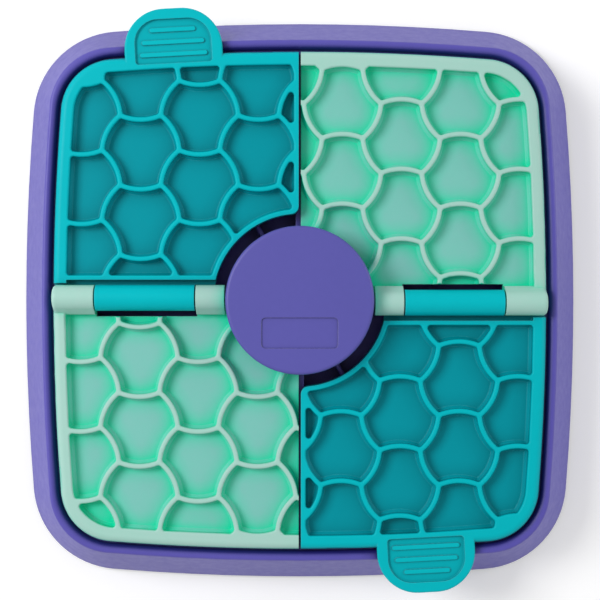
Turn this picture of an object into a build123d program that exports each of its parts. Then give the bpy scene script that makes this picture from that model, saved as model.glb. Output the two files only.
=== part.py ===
from build123d import *
import math
import os

# Square treat puzzle for dogs: a base with compartments, two fixed lick trays, two lick-faced
# flip lids hinged to them, and a twist-off knob that holds the trays down.
# Millimetres, +Z up, origin on the ground under the middle. The two halves are the same parts turned
# half a turn about Z, so each hinged pair is drawn once, on the left (-X) side.

# Levels above the ground
foot_top = 2.5
floor_under = 2.0
floor_top = 4.5
skirt_low = 1.5
divider_top = 24.0
ledge_top = 30.0
channel_top = 27.0
crest_top = 34.0
lid_lift = 0.3
cell_floor = 32.5
rib_top = 38.0
hinge_axis_z = 38.3
knob_top = 51.0

# Outlines: half sizes along X and Y, and corner radii. Their sides bulge as wide arcs.
side_radius_x = 1200.0
side_radius_y = 1160.0
skirt_half = (141.0, 142.3)
skirt_corner = 45.5
skirt_lean = 15.3
lid_half = (120.0, 121.1)
lid_corner = 26.3
rim_gap = 1.6
ledge_width = 7.6

# Lick surface: a honeycomb of cells whose sides are arcs, with ribs between them
cell_flat = 19.8
cell_width = 37.5
cell_height = 33.84
cell_bow = 2.06
rib_width = 2.4
lid_first_cell = (-20.0, 39.0)
tray_first_cell = (-20.7, 39.8)
smallest_pocket = 20.0
pocket_corner = 1.4
pocket_foot = 1.3
rib_edge = 0.9

# Borders round the lick surfaces
lid_border = 6.7
tray_field_half = (113.7, 113.9)
tray_field_corner = 21.0
seam_gap = 0.5
seam_rib_width = 2.4
lid_rim_round = 3.4
cutout_radius = 42.0
cutout_corner = 4.0

# Hinge
hinge_y = 1.2
barrel_radius = 6.3
knuckle_radius = 6.2
barrel_x = (-98.8, -50.8)
knuckle_gap = 0.6
outer_knuckle_end = -119.6
inner_knuckle_end = -36.3
knuckle_foot = (-6.9, 3.5)
knuckle_foot_top = 36.8
knuckle_end_round = 2.0
pin_radius = 2.0
pin_hole_slack = 0.02
running_slack = 0.06
pin_x = (-112.0, -37.0)
pin_end_gap = 0.4
pin_chamfer = 0.4
web_end_y = 7.5
border_end_y = 8.3
hinge_rib_y = (9.9, 12.1)
tray_edge_y = -7.8

# Finger tab
tab_centre_x = -61.2
tab_width = 47.6
tab_reach = 22.4
tab_root = 5.0
tab_corner = 19.5
tab_thickness = 3.1
tab_frame = 5.2
tab_edge_round = 1.0
tab_recess_depth = 1.2
tab_recess_root = 4.4
tab_recess_corners = (11.5, 1.6)
grip_height = 0.8
grip_width = 2.3
grip_lengths = (33.0, 30.6, 22.6)
grip_first = 0.1
grip_pitch = 5.97

# Knob and its bayonet
knob_radius = 35.5
knob_skirt_low = 38.3
knob_wall = 2.6
knob_plate = 2.5
badge_size = (36.4, 14.6)
badge_y = -15.6
badge_depth = 0.5
knob_edge_round = 1.6
badge_corner = 2.0
ring_radii = (16.2, 18.2)
ring_low = 45.0
stem_radius = 9.0
stem_bore = 6.4
stem_low = 17.2
flange_radius = 16.0
flange_thickness = 2.5
lug_radius = 11.2
lug_top = 20.6
lug_half_angle = 20.0
lug_stop_gap = 0.3
twist_angle = 60.0

# Base details
post_radius = 17.0
post_core_radius = 13.0
post_core_top = 13.5
slot_radius = 11.7
slot_half_angle = 23.0
slot_low = 16.5
pocket_top = 21.0
tray_notch_radius = 12.0
cross_wall = 4.0
divider_width = 2.4
divider_angles = {
    "divider_rear_right": 30.0,
    "divider_rear_left": 120.0,
    "divider_front_left": 210.0,
    "divider_front_right": 300.0,
}
divider_edge_round = 1.0
crest_rounds = (1.5, 3.0)
skirt_edge_round = 1.5
well_corner = 16.0
well_foot_round = 2.0
skirt_wall = 3.5
tub_wall = 2.7
ridge_width = 1.6
ridge_height = 1.8
ridge_gap = 0.8
ridge_corner = 15.2
ridge_seam_corner = 3.2
foot_radius = 10.0
foot_recess_radius = 10.2
foot_edge = 0.5
foot_at = 84.0

os.makedirs("parts", exist_ok=True)


def save(piece, name):
    """Labels a finished piece and writes it to its own file."""
    piece.part.label = name
    export_step(piece.part, f"parts/{name}.step")


def grown(half, amount):
    """Half sizes made larger by the same amount on each side."""
    return (half[0] + amount, half[1] + amount)


def bulged_square(half, corner):
    """A rounded square with bowed sides, as the overlap of four large circles."""
    half_x, half_y = half
    with BuildSketch() as outline:
        with Locations((side_radius_x - half_x, 0)):
            Circle(side_radius_x)
        with Locations((half_x - side_radius_x, 0)):
            Circle(side_radius_x, mode=Mode.INTERSECT)
        for middle_y in (side_radius_y - half_y, half_y - side_radius_y):
            with Locations((0, middle_y)):
                Circle(side_radius_y, mode=Mode.INTERSECT)
        fillet(outline.vertices(), corner)
    return outline.sketch


def between(low_x, high_x, low_y, high_y):
    """A rectangle given by its sides."""
    with BuildSketch() as area:
        with Locations(((low_x + high_x) / 2, (low_y + high_y) / 2)):
            Rectangle(high_x - low_x, high_y - low_y)
    return area.sketch


far = 200.0


# ------------------------------------------------------------------ lick surface


def lick_cell():
    """One honeycomb cell, less half a rib all round: every second side bows in."""
    corners = [
        (-cell_flat / 2, cell_height / 2),
        (cell_flat / 2, cell_height / 2),
        (cell_width / 2, 0),
        (cell_flat / 2, -cell_height / 2),
        (-cell_flat / 2, -cell_height / 2),
        (-cell_width / 2, 0),
    ]
    with BuildSketch() as cell:
        with BuildLine():
            for i, start in enumerate(corners):
                bow = cell_bow if i % 2 else -cell_bow
                SagittaArc(start, corners[(i + 1) % 6], bow)
        make_face()
        offset(amount=-rib_width / 2, kind=Kind.INTERSECTION)
    return cell.sketch


def cell_centres(first_cell):
    """Cell centres over the whole left half, counted from one of them."""
    column_pitch = (cell_flat + cell_width) / 2
    centres = []
    for column in range(-1, 5):
        shift = cell_height / 2 if column % 2 else 0
        for row in range(-6, 4):
            x = first_cell[0] - column_pitch * column
            y = first_cell[1] + cell_height * row + shift
            centres.append((x, y))
    return centres


def pockets_in(field, first_cell):
    """The solids that the cells remove inside a field: rounded corners and a sloped foot."""
    with BuildSketch() as cells:
        with Locations(*cell_centres(first_cell)):
            add(lick_cell())
        add(field, mode=Mode.INTERSECT)
    with BuildPart() as pockets:
        for face in cells.faces():
            if face.area < smallest_pocket:
                continue
            with BuildSketch(Plane.XY.offset(cell_floor)):
                add(face)
                offset(amount=-pocket_corner, kind=Kind.INTERSECTION, mode=Mode.REPLACE)
                offset(amount=pocket_corner, kind=Kind.ARC, mode=Mode.REPLACE)
            extrude(amount=rib_top + 1 - cell_floor)
        chamfer(pockets.edges().group_by(Axis.Z)[0], pocket_foot)
    return pockets.part


# ------------------------------------------------------------------ shared outlines

rim_half = grown(lid_half, rim_gap)
rim_corner = lid_corner + rim_gap
well_half = grown(rim_half, -ledge_width)


def ridge_ring(low_y, high_y, clear_radius):
    """A narrow ring just inside the wells on the left, for a range along Y."""
    with BuildSketch() as ring:
        for mode, inset in ((Mode.ADD, 0), (Mode.SUBTRACT, ridge_width)):
            with BuildSketch(mode=Mode.PRIVATE) as outline:
                add(bulged_square(grown(well_half, -ridge_gap - inset), ridge_corner - inset))
                high_x = -cross_wall / 2 - ridge_gap - inset
                strip = between(-far, high_x, low_y + inset, high_y - inset)
                add(strip, mode=Mode.INTERSECT)
                Circle(clear_radius + inset, mode=Mode.SUBTRACT)
                seam_corners = outline.vertices().group_by(Axis.X)[-1]
                fillet(seam_corners, ridge_seam_corner - inset)
            add(outline.sketch, mode=mode)
    return ring.sketch


def knuckle_profile(radius, low_y, high_y, low_z, high_z):
    """The section of a hinge barrel or knuckle: a circle wrapped to a foot below it."""
    with BuildSketch() as profile:
        with Locations((hinge_y, hinge_axis_z)):
            Circle(radius)
        add(between(low_y, high_y, low_z, high_z))
        make_hull()
    return profile.sketch


def sector(radius, start_angle, end_angle):
    """A pie slice about the origin."""
    with BuildSketch() as slice_shape:
        with BuildLine():
            rim = CenterArc((0, 0), radius, start_angle, end_angle - start_angle)
            Line((0, 0), rim @ 0)
            Line((0, 0), rim @ 1)
        make_face()
    return slice_shape.sketch


def rod(radius, low_x, high_x):
    """A round bar along the hinge axis."""
    with BuildPart() as bar:
        with BuildSketch(Plane.YZ.offset(low_x)):
            with Locations((hinge_y, hinge_axis_z)):
                Circle(radius)
        extrude(amount=high_x - low_x)
    return bar.part


# ------------------------------------------------------------------ flip lid

lid_under = ledge_top + lid_lift

with BuildSketch() as lid_plan:
    add(bulged_square(lid_half, lid_corner))
    add(between(-far, -seam_gap, web_end_y, far), mode=Mode.INTERSECT)
    Circle(cutout_radius, mode=Mode.SUBTRACT)
    seam_end = (-seam_gap, cutout_radius)
    fillet(lid_plan.vertices().sort_by_distance(seam_end)[0], cutout_corner)

with BuildSketch() as lid_raised:
    add(lid_plan.sketch)
    add(between(-far, 0, hinge_rib_y[0], far), mode=Mode.INTERSECT)
    border_inside = lid_border - lid_half[0]
    add(between(-lid_half[0], border_inside, border_end_y, hinge_rib_y[1]))
    add(lid_plan.sketch, mode=Mode.INTERSECT)

with BuildSketch() as lid_field:
    add(bulged_square(grown(lid_half, -lid_border), lid_corner - lid_border))
    field_seam = -seam_gap - seam_rib_width
    add(between(-far, field_seam, hinge_rib_y[1], far), mode=Mode.INTERSECT)
    Circle(cutout_radius + rib_width, mode=Mode.SUBTRACT)

tab_tilt = math.asin(-tab_centre_x / side_radius_y)
tab_root_y = lid_half[1] - side_radius_y * (1 - math.cos(tab_tilt))


def tab_plane(z):
    """A plane at a height, with its origin on the lid's edge and its y pointing out."""
    return Plane(
        origin=(tab_centre_x, tab_root_y, z),
        x_dir=(math.cos(tab_tilt), math.sin(tab_tilt), 0),
        z_dir=(0, 0, 1),
    )


def tab_outline(inset, root, corner):
    """The tab's plan, or the same shape inset from its free edges."""
    width = tab_width - 2 * inset
    reach = tab_reach - inset
    with BuildSketch() as tab_shape:
        with Locations((0, (reach - root) / 2)):
            Rectangle(width, reach + root)
        outer_corners = tab_shape.vertices().group_by(Axis.Y)[-1]
        fillet(outer_corners, corner)
    return tab_shape.sketch


with BuildPart() as finger_tab:
    with BuildSketch(tab_plane(rib_top - tab_thickness)):
        add(tab_outline(0, tab_root, tab_corner))
    extrude(amount=tab_thickness)
    level_edges = finger_tab.edges().filter_by(Plane.XY)
    root_edges = 2
    fillet(level_edges.sort_by(Axis.Y)[root_edges:], tab_edge_round)

with BuildPart() as tab_recess:
    with BuildSketch(tab_plane(rib_top - tab_recess_depth)) as recess_plan:
        add(tab_outline(tab_frame, tab_recess_root, tab_recess_corners[0]))
        fillet(recess_plan.vertices().group_by(Axis.Y)[0], tab_recess_corners[1])
    extrude(amount=tab_recess_depth + 1)
    fillet(tab_recess.edges().group_by(Axis.Z)[0], tab_recess_depth / 2)

with BuildPart() as grip_bars:
    with BuildSketch(tab_plane(rib_top - tab_recess_depth)):
        for row, length in enumerate(grip_lengths):
            with Locations((0, grip_first + grip_pitch * row)):
                SlotOverall(length, grip_width)
    extrude(amount=grip_height)
    fillet(grip_bars.edges().group_by(Axis.Z)[-1], grip_height / 2)

with BuildPart() as flip_lid_left:
    with BuildSketch(Plane.XY.offset(lid_under)):
        add(lid_plan.sketch)
    extrude(amount=cell_floor - lid_under)
    with BuildSketch(Plane.XY.offset(cell_floor)):
        add(lid_raised.sketch)
    extrude(amount=rib_top - cell_floor)
    top_edges = flip_lid_left.edges().filter_by_position(Axis.Z, rib_top, rib_top)
    outer_edges = top_edges.sort_by_distance((0, 0, rib_top))[-3:]
    fillet(outer_edges, lid_rim_round)
    add(finger_tab.part)
    add(pockets_in(lid_field.sketch, lid_first_cell), mode=Mode.SUBTRACT)
    pocket_edges = flip_lid_left.edges(Select.LAST)
    fillet(pocket_edges.filter_by_position(Axis.Z, rib_top, rib_top), rib_edge)
    add(tab_recess.part, mode=Mode.SUBTRACT)
    add(grip_bars.part)
    with BuildSketch(Plane.XY.offset(lid_under - ridge_height)):
        add(ridge_ring(hinge_rib_y[0], far, cutout_radius + rib_width))
    extrude(amount=ridge_height)
    with BuildSketch(Plane.YZ.offset(barrel_x[0])):
        add(knuckle_profile(barrel_radius, hinge_y, web_end_y, lid_under, cell_floor))
    extrude(amount=barrel_x[1] - barrel_x[0])
    hole = rod(pin_radius + running_slack, barrel_x[0] - 1, barrel_x[1] + 1)
    add(hole, mode=Mode.SUBTRACT)

save(flip_lid_left, "flip_lid_left")


with BuildPart() as flip_lid_right:
    add(flip_lid_left.part.rotate(Axis.Z, 180))

save(flip_lid_right, "flip_lid_right")


# ------------------------------------------------------------------ lick tray

with BuildSketch() as tray_plan:
    add(bulged_square(lid_half, lid_corner))
    add(between(-far, -seam_gap, -far, -seam_gap), mode=Mode.INTERSECT)
    notch = (barrel_x[0] - knuckle_gap, barrel_x[1] + knuckle_gap)
    add(between(*notch, tray_edge_y, far), mode=Mode.SUBTRACT)
    Circle(tray_notch_radius, mode=Mode.SUBTRACT)

with BuildSketch() as tray_field:
    add(bulged_square(tray_field_half, tray_field_corner))
    add(between(-far, cell_width, -far, cell_width), mode=Mode.INTERSECT)


def knuckle(low_x, high_x, rounded_end):
    """One hinge knuckle of the tray, standing on the cross wall."""
    with BuildPart() as block:
        with BuildSketch(Plane.YZ.offset(low_x)):
            add(knuckle_profile(knuckle_radius, *knuckle_foot, ledge_top, knuckle_foot_top))
        extrude(amount=high_x - low_x)
        if rounded_end:
            end_face = block.faces().sort_by(Axis.X)[0]
            upper_edges = end_face.edges().filter_by_position(
                Axis.Z, knuckle_foot_top, knob_top
            )
            fillet(upper_edges, knuckle_end_round)
    return block.part


seam_side = -seam_gap - rib_edge / 10

with BuildPart() as lick_tray_left:
    with BuildSketch(Plane.XY.offset(ledge_top)):
        add(tray_plan.sketch)
    extrude(amount=rib_top - ledge_top)
    top_edges = lick_tray_left.edges().filter_by_position(Axis.Z, rib_top, rib_top)
    outer_edges = top_edges.sort_by_distance((0, 0, rib_top))[-3:]
    fillet(outer_edges, lid_rim_round)
    add(pockets_in(tray_field.sketch, tray_first_cell), mode=Mode.SUBTRACT)
    pocket_edges = lick_tray_left.edges(Select.LAST)
    rib_edges = pocket_edges.filter_by_position(Axis.Z, rib_top, rib_top)
    fillet([edge for edge in rib_edges if edge.center().X < seam_side], rib_edge)
    add(knuckle(outer_knuckle_end, notch[0], True))
    add(knuckle(notch[1], inner_knuckle_end, False))
    hole = rod(pin_radius + pin_hole_slack, pin_x[0] - pin_end_gap, inner_knuckle_end)
    add(hole, mode=Mode.SUBTRACT)
    with BuildSketch(Plane.XY.offset(ledge_top - ridge_height)):
        add(ridge_ring(-far, tray_edge_y - ridge_gap, post_radius + ridge_gap))
    extrude(amount=ridge_height)

save(lick_tray_left, "lick_tray_left")

with BuildPart() as lick_tray_right:
    add(lick_tray_left.part.rotate(Axis.Z, 180))

save(lick_tray_right, "lick_tray_right")


# ------------------------------------------------------------------ hinge pins

with BuildPart() as hinge_pin_left:
    add(rod(pin_radius, *pin_x))
    chamfer(hinge_pin_left.edges().filter_by(GeomType.CIRCLE), pin_chamfer)

save(hinge_pin_left, "hinge_pin_left")

with BuildPart() as hinge_pin_right:
    add(hinge_pin_left.part.rotate(Axis.Z, 180))

save(hinge_pin_right, "hinge_pin_right")


# ------------------------------------------------------------------ knob

with BuildPart() as knob_cap:
    with BuildSketch(Plane.XY.offset(knob_skirt_low)):
        Circle(knob_radius)
    extrude(amount=knob_top - knob_skirt_low)
    fillet(knob_cap.edges().group_by(Axis.Z)[-1], knob_edge_round)
    with BuildSketch(Plane.XY.offset(knob_skirt_low)):
        Circle(knob_radius - knob_wall)
    extrude(amount=knob_top - knob_plate - knob_skirt_low, mode=Mode.SUBTRACT)
    with BuildSketch(Plane.XY.offset(ring_low)):
        Circle(ring_radii[1])
        Circle(ring_radii[0], mode=Mode.SUBTRACT)
    extrude(amount=knob_top - knob_plate - ring_low)
    with BuildSketch(Plane.XY.offset(knob_top - badge_depth)):
        with Locations((0, badge_y)):
            RectangleRounded(*badge_size, badge_corner)
    extrude(amount=badge_depth, mode=Mode.SUBTRACT)

save(knob_cap, "knob_cap")

with BuildPart() as knob_core:
    flange_low = knob_top - knob_plate - flange_thickness
    with BuildSketch(Plane.XY.offset(flange_low)):
        Circle(flange_radius)
    extrude(amount=flange_thickness)
    with BuildSketch(Plane.XY.offset(stem_low)):
        Circle(stem_radius)
    extrude(amount=flange_low - stem_low)
    with BuildSketch(Plane.XY.offset(stem_low)):
        add(sector(lug_radius, -lug_half_angle, lug_half_angle))
        add(sector(lug_radius, 180 - lug_half_angle, 180 + lug_half_angle))
    extrude(amount=lug_top - stem_low)
    with BuildSketch(Plane.XY.offset(stem_low)):
        Circle(stem_bore)
    extrude(amount=flange_low - stem_low, mode=Mode.SUBTRACT)

save(knob_core, "knob_core")


# ------------------------------------------------------------------ rubber feet

foot_places = {
    "foot_front_left": (-foot_at, -foot_at),
    "foot_front_right": (foot_at, -foot_at),
    "foot_rear_left": (-foot_at, foot_at),
    "foot_rear_right": (foot_at, foot_at),
}

for foot_name, place in foot_places.items():
    with BuildPart() as rubber_foot:
        with BuildSketch():
            with Locations(place):
                Circle(foot_radius)
        extrude(amount=foot_top)
        chamfer(rubber_foot.edges().group_by(Axis.Z)[0], foot_edge)
    save(rubber_foot, foot_name)


# ------------------------------------------------------------------ base

skirt_height = crest_top - skirt_low
skirt_taper = math.degrees(math.atan(skirt_lean / skirt_height))
tub_half = grown(well_half, tub_wall)

with BuildPart() as tub_inside:
    with BuildSketch(Plane.XY.offset(floor_top)):
        add(bulged_square(well_half, well_corner))
    extrude(amount=ledge_top - floor_top)
    fillet(tub_inside.edges().group_by(Axis.Z)[0], well_foot_round)

# The frame: sloped skirt, crest and ledge, open below between the skirt and the tub
with BuildPart() as base_frame:
    with BuildSketch(Plane.XY.offset(skirt_low)):
        add(bulged_square(skirt_half, skirt_corner))
    extrude(amount=skirt_height, taper=skirt_taper)
    with BuildSketch(Plane.XY.offset(ledge_top)):
        add(bulged_square(rim_half, rim_corner))
    extrude(amount=crest_top - ledge_top, mode=Mode.SUBTRACT)
    crest_face = base_frame.faces().sort_by(Axis.Z)[-1]
    fillet(crest_face.outer_wire().edges(), crest_rounds[0])
    crest_face = base_frame.faces().sort_by(Axis.Z)[-1]
    fillet(crest_face.inner_wires()[0].edges(), crest_rounds[1])
    fillet(base_frame.edges().group_by(Axis.Z)[0], skirt_edge_round)
    with BuildSketch(Plane.XY.offset(skirt_low)):
        add(bulged_square(grown(skirt_half, -skirt_wall), skirt_corner - skirt_wall))
    extrude(amount=channel_top - skirt_low, taper=skirt_taper, mode=Mode.SUBTRACT)
    with BuildSketch(Plane.XY.offset(channel_top)):
        add(bulged_square(well_half, well_corner))
    extrude(amount=ledge_top - channel_top, mode=Mode.SUBTRACT)

save(base_frame, "base_frame")

# The tub: floor and outer walls
with BuildPart() as base_tub:
    with BuildSketch(Plane.XY.offset(floor_under)):
        add(bulged_square(tub_half, well_corner + tub_wall))
    extrude(amount=channel_top - floor_under)
    add(tub_inside.part, mode=Mode.SUBTRACT)
    with BuildSketch(Plane.XY.offset(floor_under)):
        Circle(post_core_radius)
    extrude(amount=floor_top - floor_under, mode=Mode.SUBTRACT)
    with BuildSketch(Plane.XY.offset(floor_under)):
        with Locations(*foot_places.values()):
            Circle(foot_recess_radius)
    extrude(amount=foot_top - floor_under, mode=Mode.SUBTRACT)

save(base_tub, "base_tub")

# The cross that parts the tub into four wells, with the bored post in its middle
with BuildPart() as bayonet:
    with BuildSketch(Plane.XY.offset(slot_low)):
        Circle(stem_radius + running_slack)
        for turn in (twist_angle, twist_angle + 180):
            add(sector(slot_radius, turn - slot_half_angle, turn + slot_half_angle))
    extrude(amount=ledge_top - slot_low)
    with BuildSketch(Plane.XY.offset(slot_low)):
        for turn in (0, 180):
            low_angle = turn - lug_half_angle - lug_stop_gap
            add(sector(slot_radius, low_angle, turn + twist_angle + slot_half_angle))
    extrude(amount=pocket_top - slot_low)

with BuildPart() as base_cross:
    with BuildSketch(Plane.XY.offset(floor_top)):
        Rectangle(2 * far, cross_wall)
        Rectangle(cross_wall, 2 * far)
        Circle(post_radius)
    extrude(amount=ledge_top - floor_top)
    add(tub_inside.part, mode=Mode.INTERSECT)
    add(bayonet.part, mode=Mode.SUBTRACT)
    with BuildSketch(Plane.XY.offset(floor_top)):
        Circle(post_core_radius)
    extrude(amount=post_core_top - floor_top, mode=Mode.SUBTRACT)

save(base_cross, "base_cross")

# One divider in each well, from the post out to the wall
for divider_name, angle in divider_angles.items():
    with BuildPart() as divider:
        with BuildSketch(Plane.XY.offset(floor_top)):
            with PolarLocations(post_radius + far / 2, 1, start_angle=angle):
                Rectangle(far, divider_width)
        extrude(amount=divider_top - floor_top)
        add(tub_inside.part, mode=Mode.INTERSECT)
        top_edges = divider.edges().group_by(Axis.Z)[-1]
        long_edges = top_edges.filter_by(lambda edge: edge.length > 2 * divider_width)
        fillet(long_edges, divider_edge_round)
    save(divider, divider_name)
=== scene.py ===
import bpy
import math
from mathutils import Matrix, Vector

# Dog puzzle feeder, dressed for a product picture taken from straight above. Metres, +Z up, the
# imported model's own frame. The CAD nodes carry every shape; this script gives them their plastics.

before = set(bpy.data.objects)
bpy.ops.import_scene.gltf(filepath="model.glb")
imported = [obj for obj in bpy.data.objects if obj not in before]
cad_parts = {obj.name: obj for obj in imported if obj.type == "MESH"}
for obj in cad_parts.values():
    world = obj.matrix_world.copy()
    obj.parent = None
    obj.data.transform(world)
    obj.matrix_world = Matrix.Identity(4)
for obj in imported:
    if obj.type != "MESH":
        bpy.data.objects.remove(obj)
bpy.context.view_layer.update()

# Colours are linear. Each plastic has its own colour on top, a painted shade colour for floors
# below the rib tops, and a painted shade colour for tight corners that the clouds and mottle also
# use.
PURPLE = ((0.106, 0.088, 0.445), (0.100, 0.083, 0.425), (0.018, 0.014, 0.150))
KNOB_PURPLE = ((0.088, 0.080, 0.378), (0.080, 0.072, 0.350), (0.030, 0.026, 0.180))
MINT = ((0.405, 0.635, 0.570), (0.220, 0.555, 0.505), (0.000, 0.680, 0.410))
TEAL = ((0.000, 0.495, 0.555), (0.000, 0.310, 0.375), (0.000, 0.240, 0.285))
RUBBER = ((0.018, 0.018, 0.020), (0.016, 0.016, 0.018), (0.006, 0.006, 0.006))

# Heights between which the painted floor shade turns to the plastic's own top colour. They are set
# a little inside the lick cells, which go from 32.5 mm to 38 mm.
FLOOR_SHADE_Z = 0.0329
TOP_COLOUR_Z = 0.0372

# Grains in a metre: flow clouds, mottle, pits and the spark-eroded grain
CLOUD_SCALE = 14
MOTTLE_SCALE = 260
PIT_SCALE = 900
GRAIN_SCALE = 3200

CLOUD_TINT, MOTTLE_TINT = 0.10, 0.05  # the most of the corner shade colour that each brings in, as random tone

EDGE_RADIUS = 0.0007  # of the rounding that every moulded edge has
EDGE_SAMPLES = 6
EDGE_FROM, EDGE_TO = 0.985, 0.80  # cosines between the rounded direction and the surface's own
EDGE_WHITE_SHARE = 0.14  # share of white mixed into an edge, in patches
EDGE_POLISH = 0.12  # how much less rough an edge is

CORNER_SHADE_REACH = 0.009  # how far from a wall the painted corner shade reaches
CORNER_SHADE_SAMPLES = 8
CORNER_SHADE_FULL, CORNER_SHADE_NONE = 0.52, 0.95  # open shares with all and none of the painted corner shade

IOR = 1.49
BUMP_STRENGTH = 0.35
PIT_DEPTH = 0.45  # against the grain's

# Lamps stand this far off and are pointed a little above the ground
LAMP_DISTANCE = 1.3
AIM = (0, 0, 0.02)
WORLD_LEVEL = 0.505

FLOOR_SIZE = 8
FLOOR_GREY = 0.90
NEAR_GLOW, FAR_GLOW = 0.20, 0.60
GLOW_FROM, GLOW_TO = 0.25, 1.2  # the floor's distance from the object over which its glow rises

# Straight above. The distance is assumed, since the photograph shows too little perspective to
# measure it well.
CAMERA_AT = (0.0001, 0.00012, 0.658)
LENS = 76.7
SENSOR_WIDTH = 36.0


# ------------------------------------------------------------------ materials


def link(tree, source, target):
    tree.links.new(source, target)


def noise(tree, coordinates, scale, detail, roughness=0.5):
    """A 3-D noise in the object's own metres; scale is its number of grains in a metre."""
    node = tree.nodes.new("ShaderNodeTexNoise")
    node.inputs["Scale"].default_value = scale
    node.inputs["Detail"].default_value = detail
    node.inputs["Roughness"].default_value = roughness
    link(tree, coordinates, node.inputs["Vector"])
    return node.outputs["Fac"]


def spread(tree, value, low, high, from_low=0.0, from_high=1.0):
    """A value mapped to a range, clamped."""
    node = tree.nodes.new("ShaderNodeMapRange")
    node.inputs["From Min"].default_value = from_low
    node.inputs["From Max"].default_value = from_high
    node.inputs["To Min"].default_value = low
    node.inputs["To Max"].default_value = high
    link(tree, value, node.inputs["Value"])
    return node.outputs["Result"]


def mixed(tree, factor, first, second):
    """Two colours mixed by a factor, which may be a number."""
    node = tree.nodes.new("ShaderNodeMix")
    node.data_type = "RGBA"
    sockets = {"A": node.inputs[6], "B": node.inputs[7], "Factor": node.inputs[0]}
    for name, value in (("Factor", factor), ("A", first), ("B", second)):
        if isinstance(value, bpy.types.NodeSocket):
            link(tree, value, sockets[name])
        elif isinstance(value, tuple):
            sockets[name].default_value = (*value, 1)
        else:
            sockets[name].default_value = value
    return node.outputs[2]


def rounded(tree):
    """The surface's direction, as if its edges were rounded."""
    bevel = tree.nodes.new("ShaderNodeBevel")
    bevel.samples = EDGE_SAMPLES
    bevel.inputs["Radius"].default_value = EDGE_RADIUS
    return bevel.outputs["Normal"]


def edge_mask(tree, soft):
    """1 where the rounded direction leaves the surface's own, 0 on flat ground."""
    geometry = tree.nodes.new("ShaderNodeNewGeometry")
    dot = tree.nodes.new("ShaderNodeVectorMath")
    dot.operation = "DOT_PRODUCT"
    link(tree, soft, dot.inputs[0])
    link(tree, geometry.outputs["Normal"], dot.inputs[1])
    return spread(tree, dot.outputs["Value"], 0.0, 1.0, EDGE_FROM, EDGE_TO)


def combined(tree, operation, first, second, third=None):
    """Values joined by a Math node's operation, each a socket or a number."""
    node = tree.nodes.new("ShaderNodeMath")
    node.operation = operation
    for index, value in enumerate((first, second, third)):
        if isinstance(value, bpy.types.NodeSocket):
            link(tree, value, node.inputs[index])
        elif value is not None:
            node.inputs[index].default_value = value
    return node.outputs["Value"]


def moulded_plastic(name, colours, roughness, grain_depth, gloss):
    """Injection-moulded plastic: faint flow clouds, a spark-eroded grain, polished edges lightened
    toward white in patches, painted shade on floors below the rib tops, and painted shade in
    corners."""
    top_colour, painted_floor_shade, mottle_and_corner_shade = colours
    material = bpy.data.materials.new(name)
    material.use_nodes = True
    tree = material.node_tree
    shader = tree.nodes["Principled BSDF"]
    where = tree.nodes.new("ShaderNodeTexCoord").outputs["Object"]
    parts = tree.nodes.new("ShaderNodeSeparateXYZ")
    link(tree, where, parts.inputs["Vector"])

    clouds = noise(tree, where, CLOUD_SCALE, 3)
    mottle = noise(tree, where, MOTTLE_SCALE, 4, 0.6)
    grain = noise(tree, where, GRAIN_SCALE, 2, 0.55)
    pits = noise(tree, where, PIT_SCALE, 3, 0.6)

    # Painted shade: surfaces below the rib tops take the darker floor colour.
    floor_shade_share = spread(tree, parts.outputs["Z"], 1.0, 0.0, FLOOR_SHADE_Z, TOP_COLOUR_Z)
    body = mixed(tree, combined(tree, "POWER", floor_shade_share, 0.5), top_colour, painted_floor_shade)
    body = mixed(tree, spread(tree, clouds, 0.0, CLOUD_TINT, 0.3, 0.7), body, mottle_and_corner_shade)
    body = mixed(tree, spread(tree, mottle, 0.0, MOTTLE_TINT, 0.35, 0.75), body, mottle_and_corner_shade)

    # Painted shade: an occlusion mask gives tight corners the deep, saturated corner colour.
    occlusion = tree.nodes.new("ShaderNodeAmbientOcclusion")
    occlusion.samples = CORNER_SHADE_SAMPLES
    occlusion.inputs["Distance"].default_value = CORNER_SHADE_REACH
    open_share = spread(tree, occlusion.outputs["AO"], 0.0, 1.0, CORNER_SHADE_FULL, CORNER_SHADE_NONE)
    body = mixed(tree, open_share, mottle_and_corner_shade, body)

    soft = rounded(tree)
    edge = edge_mask(tree, soft)
    # Edges lightened toward white in patches.
    lightened_edge = combined(tree, "MULTIPLY", edge, spread(tree, pits, 0.15, 0.55, 0.4, 0.65))
    edge_white = tuple(c + (1 - c) * EDGE_WHITE_SHARE for c in top_colour)
    body = mixed(tree, lightened_edge, body, edge_white)
    link(tree, body, shader.inputs["Base Color"])

    rough = spread(tree, mottle, roughness - 0.04, roughness + 0.05, 0.3, 0.7)
    rough = combined(tree, "MULTIPLY_ADD", edge, -EDGE_POLISH, rough)
    link(tree, rough, shader.inputs["Roughness"])

    bump = tree.nodes.new("ShaderNodeBump")
    bump.inputs["Strength"].default_value = BUMP_STRENGTH
    bump.inputs["Distance"].default_value = grain_depth
    link(tree, combined(tree, "MULTIPLY_ADD", pits, PIT_DEPTH, grain), bump.inputs["Height"])
    link(tree, soft, bump.inputs["Normal"])
    link(tree, bump.outputs["Normal"], shader.inputs["Normal"])

    shader.inputs["IOR"].default_value = IOR
    shader.inputs["Specular IOR Level"].default_value = gloss
    return material


# Roughness, depth of the grain in metres, and gloss
MATERIALS = {
    "base_plastic": moulded_plastic("purple_base", PURPLE, 0.42, 0.00004, 0.36),
    "knob_plastic": moulded_plastic("purple_knob", KNOB_PURPLE, 0.45, 0.00005, 0.45),
    "tray_plastic": moulded_plastic("mint", MINT, 0.42, 0.00004, 0.20),
    "lid_plastic": moulded_plastic("teal", TEAL, 0.40, 0.00004, 0.08),
    "pin_plastic": moulded_plastic("mint_pin", MINT, 0.38, 0.00003, 0.20),
    "foot_rubber": moulded_plastic("black_rubber", RUBBER, 0.75, 0.00006, 0.50),
}

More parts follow.
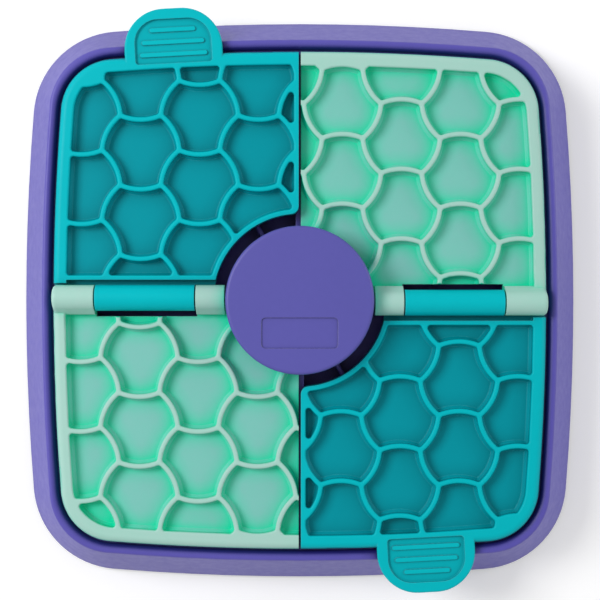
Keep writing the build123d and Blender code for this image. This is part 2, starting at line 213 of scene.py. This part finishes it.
SLOT_OF = {
    "base_frame": "base_plastic",
    "base_tub": "base_plastic",
    "base_cross": "base_plastic",
    "divider_rear_right": "base_plastic",
    "divider_rear_left": "base_plastic",
    "divider_front_left": "base_plastic",
    "divider_front_right": "base_plastic",
    "lick_tray_left": "tray_plastic",
    "lick_tray_right": "tray_plastic",
    "flip_lid_left": "lid_plastic",
    "flip_lid_right": "lid_plastic",
    "hinge_pin_left": "pin_plastic",
    "hinge_pin_right": "pin_plastic",
    "knob_cap": "knob_plastic",
    "knob_core": "knob_plastic",
    "foot_front_left": "foot_rubber",
    "foot_front_right": "foot_rubber",
    "foot_rear_left": "foot_rubber",
    "foot_rear_right": "foot_rubber",
}

for name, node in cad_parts.items():
    for index in range(len(node.data.materials)):
        node.data.materials[index] = MATERIALS[SLOT_OF[name]]


# ------------------------------------------------------------------ floor


def seen_directly(tree):
    """1 for the camera, for gloss and through clear things, 0 for light that falls on things."""
    path = tree.nodes.new("ShaderNodeLightPath")
    seen = combined(tree, "MAXIMUM", path.outputs["Is Camera Ray"], path.outputs["Is Glossy Ray"])
    return combined(tree, "MAXIMUM", seen, path.outputs["Is Transmission Ray"])


def floor_material():
    """A pale matt sheet. For the camera and for gloss it also glows a little, and more where the
    lamps don't reach, so that it is white where no shadow lies."""
    material = bpy.data.materials.new("floor_white")
    material.use_nodes = True
    tree = material.node_tree
    tree.nodes.remove(tree.nodes["Principled BSDF"])
    matt = tree.nodes.new("ShaderNodeBsdfDiffuse")
    matt.inputs["Color"].default_value = (FLOOR_GREY, FLOOR_GREY, FLOOR_GREY, 1)
    glow = tree.nodes.new("ShaderNodeEmission")
    off = tree.nodes.new("ShaderNodeVectorMath")
    off.operation = "LENGTH"
    link(tree, tree.nodes.new("ShaderNodeTexCoord").outputs["Object"], off.inputs[0])
    level = spread(tree, off.outputs["Value"], NEAR_GLOW, FAR_GLOW, GLOW_FROM, GLOW_TO)
    link(tree, combined(tree, "MULTIPLY", seen_directly(tree), level), glow.inputs["Strength"])
    both = tree.nodes.new("ShaderNodeAddShader")
    link(tree, matt.outputs["BSDF"], both.inputs[0])
    link(tree, glow.outputs["Emission"], both.inputs[1])
    link(tree, both.outputs["Shader"], tree.nodes["Material Output"].inputs["Surface"])
    return material


bpy.ops.mesh.primitive_plane_add(size=FLOOR_SIZE)
floor = bpy.context.object
floor.name = "floor"
floor.data.materials.append(floor_material())


# ------------------------------------------------------------------ light


def softbox(name, azimuth, elevation, size, level):
    """A square softbox that gives a level ground this share of a full white, from a compass
    direction counted from +X."""
    a = math.radians(azimuth)
    e = math.radians(elevation)
    way = Vector((math.cos(a) * math.cos(e), math.sin(a) * math.cos(e), math.sin(e)))
    data = bpy.data.lights.new(name, "AREA")
    data.shape = "SQUARE"
    data.size = size
    data.energy = level * math.pi**2 * LAMP_DISTANCE**2 / math.sin(e)
    lamp = bpy.data.objects.new(name, data)
    bpy.context.scene.collection.objects.link(lamp)
    lamp.location = way * LAMP_DISTANCE
    lamp.rotation_mode = "QUATERNION"
    lamp.rotation_quaternion = (Vector(AIM) - lamp.location).to_track_quat("-Z", "Y")


# Azimuth, elevation, size and level
softbox("key", 162, 46, 0.50, 0.43)
softbox("right_fill", 15, 20, 0.60, 0.080)

world = bpy.data.worlds.new("studio")
bpy.context.scene.world = world
world.use_nodes = True
tree = world.node_tree
background = tree.nodes["Background"]
background.inputs["Color"].default_value = (1, 1, 1, 1)
link(tree, spread(tree, seen_directly(tree), WORLD_LEVEL, 1.0), background.inputs["Strength"])


# ------------------------------------------------------------------ camera

camera_data = bpy.data.cameras.new("camera")
camera_data.sensor_width = SENSOR_WIDTH
camera_data.lens = LENS
camera_data.clip_start = 0.01
camera = bpy.data.objects.new("camera", camera_data)
bpy.context.scene.collection.objects.link(camera)
camera.location = CAMERA_AT
bpy.context.scene.camera = camera

bpy.context.scene.view_settings.view_transform = "Standard"
